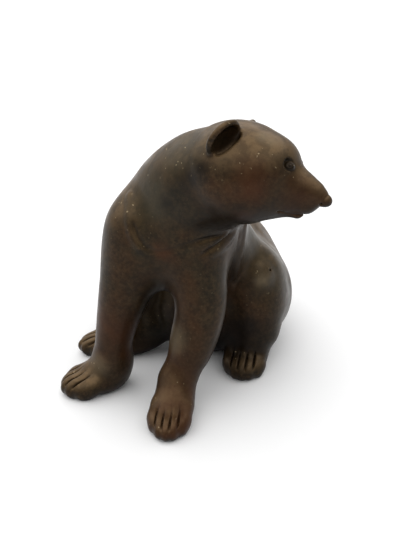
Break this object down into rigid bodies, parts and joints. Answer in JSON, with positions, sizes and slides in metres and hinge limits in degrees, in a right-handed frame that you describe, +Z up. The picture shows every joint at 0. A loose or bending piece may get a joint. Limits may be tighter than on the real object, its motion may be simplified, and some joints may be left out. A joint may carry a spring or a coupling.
{
  "type": "bronze bear sculpture",
  "caption": "Seated bear cast in dark brown bronze, front legs straight, head turned to its left.",
  "frame": {"origin": "on the ground under the middle of the casting's bounding box", "axes": "+Z up, -Y the way the bear's chest and front paws face, +X the bear's left, where its muzzle points"},
  "size_m": [0.2724, 0.2988, 0.2833],
  "materials": {
    "bronze": "cast bronze under a satin brown patina, olive on the neck and shoulders, redder on cheek and paws"
  },
  "bodies": {
    "root": {"bear": "bronze"}
  },
  "joints": []
}
